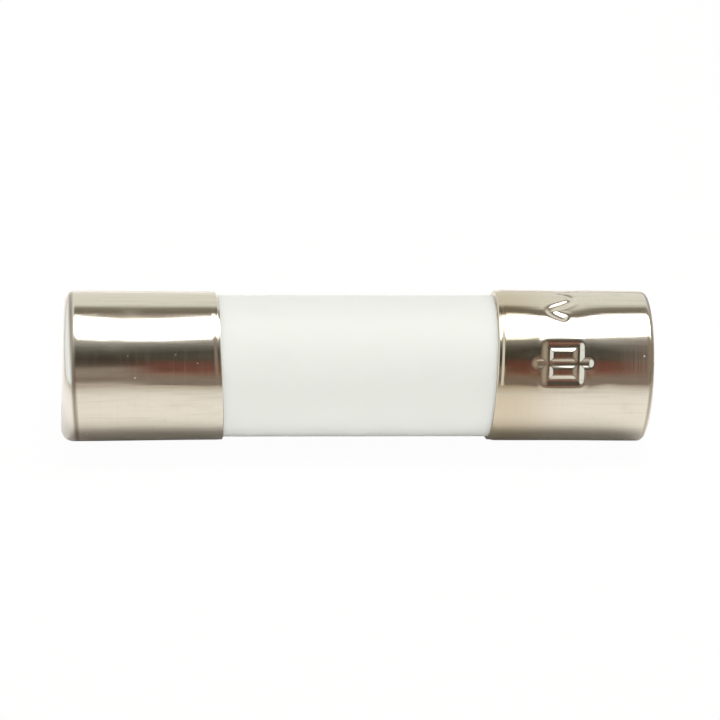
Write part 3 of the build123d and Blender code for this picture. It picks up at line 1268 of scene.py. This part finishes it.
def room_world():
    """The world: a softbox overhead, white behind and to the left, a dark room in front and a brown wall.

    A place in it is known by how far aside it is, from -1 on the left to 1 on the right, and by its height
    round the fuse's axis.
    """
    world = bpy.data.worlds.new("studio")
    world.use_nodes = True
    tree = world.node_tree
    tree.nodes.clear()
    direction = add_node(tree, "ShaderNodeTexCoord").outputs["Generated"]
    part = add_node(tree, "ShaderNodeSeparateXYZ", {"Vector": direction}).outputs
    aside = part["X"]
    height = maths(tree, "ARCTAN2", part["Z"], maths(tree, "MULTIPLY", part["Y"], -1.0))
    share = maths(tree, "MULTIPLY_ADD", height, 1 / (2 * math.pi), 0.5)
    path = add_node(tree, "ShaderNodeLightPath").outputs

    room = room_colour(tree, aside, height, share)
    walls = wall_colour(tree, aside, share, path["Is Diffuse Ray"])
    in_room = maths(tree, "MULTIPLY", between(tree, aside, *ROOM_LEFT), between(tree, aside, *ROOM_RIGHT))
    surroundings = blended(tree, in_room, walls, room)
    shades = ((surroundings, 1.0), (WHITE, softbox_light(tree, aside, share)), (WHITE, 1.0))
    base, softbox, seen = (
        add_node(tree, "ShaderNodeBackground", {"Color": shade, "Strength": strength}).outputs[0]
        for shade, strength in shades
    )
    lit = add_node(tree, "ShaderNodeAddShader", {0: base, 1: softbox}).outputs[0]
    both = add_node(tree, "ShaderNodeMixShader", {0: path["Is Camera Ray"], 1: lit, 2: seen})
    add_node(tree, "ShaderNodeOutputWorld", {"Surface": both.outputs[0]})
    return world


def floor_material():
    """White paper that shows the camera a plain white glow, with only a faint trace of the shadow under the
    fuse.

    Painted shade in its colour stands for its light falling off in front of the fuse, where the camera and
    the one who holds it stand in the way, and beyond both ends; the shadow right under the fuse is partly
    painted into it too.
    """
    made, tree = new_material("white paper", Roughness=0.9, Specular_IOR_Level=0.1)
    part = axes(tree)
    # Painted shade: the paper is painted darker ahead of the fuse and beyond its ends, where its light falls
    # off
    in_front = {"Value": part["Y"], "From Min": 0.0, "From Max": -PAINTED_FALLOFF_REACH}
    ahead = add_node(tree, "ShaderNodeMapRange", in_front).outputs["Result"]
    past_ends = between(tree, apart(tree, part["X"], DIM_MIDDLE), *DIM_ALONG)
    beside = maths(tree, "MULTIPLY", past_ends, between(tree, part["Y"], *DIM_ACROSS))
    dim = blended(tree, between(tree, part["X"], -5.0, 5.0), PAINTED_DIM_LEFT, PAINTED_DIM_RIGHT)
    paper = blended(tree, beside, ramp(tree, ahead, PAINTED_FALLOFF), dim)
    # Painted shadow: the paper is painted darker right under the fuse
    along = between(tree, apart(tree, part["X"], SHADOW_MIDDLE), *SHADOW_ALONG)
    under = maths(tree, "MULTIPLY", between(tree, apart(tree, part["Y"], 0.0), *SHADOW_ACROSS), along)
    shader = tree.nodes["Principled BSDF"]
    feed(tree, shader.inputs, Base_Color=blended(tree, under, paper, PAINTED_SHADOW))
    bright = add_node(tree, "ShaderNodeEmission", {"Color": WHITE, "Strength": 1.0}).outputs[0]
    direct = add_node(tree, "ShaderNodeLightPath").outputs["Is Camera Ray"]
    share = maths(tree, "MULTIPLY", direct, 0.97)
    both = add_node(tree, "ShaderNodeMixShader", {0: share, 1: shader.outputs[0], 2: bright})
    feed(tree, tree.nodes["Material Output"].inputs, Surface=both.outputs[0])
    return made


class FUSE_OT_stage(Operator):
    """Builds the floor, the light and the camera"""

    bl_idname = "fuse.stage"
    bl_label = "Stage"

    def execute(self, context):
        settings = context.scene.fuse_stage
        self.add_floor(settings.floor_size)
        self.add_fill()
        context.scene.world = room_world()
        context.scene.camera = self.add_camera(settings)
        context.scene.view_settings.view_transform = "Standard"
        return {"FINISHED"}

    def add_floor(self, size):
        """A flat sheet of paper under the fuse."""
        level = -Sizes.cap_radius
        corners = [(x * size, y * size, level) for x, y in ((-1, -1), (1, -1), (1, 1), (-1, 1))]
        mesh = bpy.data.meshes.new("floor")
        mesh.from_pydata(corners, [], [(0, 1, 2, 3)])
        mesh.materials.append(floor_material())
        floor = placed("floor", mesh)

    def add_fill(self):
        """A soft light low in front, which brightens the ceramic and is kept out of the reflections."""
        data = bpy.data.lights.new("fill", "AREA")
        data.shape = "RECTANGLE"
        data.size, data.size_y = FILL_SIZE
        data.energy = FILL_POWER
        fill = placed("fill", data)
        fill.location = FILL_PLACE
        fill.rotation_euler = (Vector() - Vector(FILL_PLACE)).to_track_quat("-Z", "Y").to_euler()
        fill.visible_camera = False
        fill.visible_glossy = False

    def add_camera(self, settings):
        """The camera, rolled so that the fuse lies level in the picture."""
        flat = math.cos(settings.elevation)
        back = Vector((-math.sin(settings.turn) * flat, -math.cos(settings.turn) * flat, 0))
        back.z = math.sin(settings.elevation)
        upright = (-back).to_track_quat("-Z", "Y")
        right, up = upright @ Vector((1, 0, 0)), upright @ Vector((0, 1, 0))
        roll = math.atan2(up.x, right.x)
        rotation = upright @ Quaternion((0, 0, 1), roll)
        aim = rotation @ Vector((settings.off_right, settings.off_up, 0))
        data = bpy.data.cameras.new("camera")
        data.lens = settings.focal_length
        data.clip_start = 10 * MM
        data.clip_end = 10.0
        camera = placed("camera", data)
        camera.rotation_mode = "QUATERNION"
        camera.rotation_quaternion = rotation
        camera.location = aim + back * settings.distance
        return camera


# Add-on


OPERATORS = (
    FUSE_OT_stage,
    FUSE_OT_ceramic_tube,
    FUSE_OT_end_caps,
    FUSE_OT_solder_pads,
    FUSE_OT_sealing_discs,
    FUSE_OT_core_strands,
    FUSE_OT_fuse_wire,
    FUSE_OT_quartz_sand,
)

SETTINGS = {
    "fuse_caps": CapSettings,
    "fuse_stamps": StampSettings,
    "fuse_element": ElementSettings,
    "fuse_finish": FinishSettings,
    "fuse_stage": StageSettings,
}


class FUSE_PT_builder(Panel):
    """Lists the pieces of the fuse and their settings"""

    bl_idname = "FUSE_PT_builder"
    bl_label = "Cartridge Fuse"
    bl_space_type = "VIEW_3D"
    bl_region_type = "UI"
    bl_category = "Cartridge Fuse"

    def draw(self, context):
        for operator in OPERATORS:
            self.layout.operator(operator.bl_idname)
        for name, settings in SETTINGS.items():
            box = self.layout.box()
            box.label(text=settings.__doc__)
            for prop in settings.__annotations__:
                box.prop(getattr(context.scene, name), prop)


def register():
    """Makes the settings, the operators and the panel known to Blender."""
    for name, settings in SETTINGS.items():
        bpy.utils.register_class(settings)
        setattr(bpy.types.Scene, name, PointerProperty(type=settings))
    for operator in OPERATORS:
        bpy.utils.register_class(operator)
    bpy.utils.register_class(FUSE_PT_builder)


def unregister():
    """Takes back everything that register made known."""
    bpy.utils.unregister_class(FUSE_PT_builder)
    for operator in OPERATORS:
        bpy.utils.unregister_class(operator)
    for name, settings in SETTINGS.items():
        delattr(bpy.types.Scene, name)
        bpy.utils.unregister_class(settings)


def main():
    """Builds every piece and the stage."""
    register()
    bpy.ops.fuse.stage()
    bpy.ops.fuse.ceramic_tube()
    bpy.ops.fuse.end_caps()
    bpy.ops.fuse.solder_pads()
    bpy.ops.fuse.sealing_discs()
    bpy.ops.fuse.core_strands()
    bpy.ops.fuse.fuse_wire()
    bpy.ops.fuse.quartz_sand()
    bpy.context.view_layer.update()


if __name__ == "__main__":
    main()
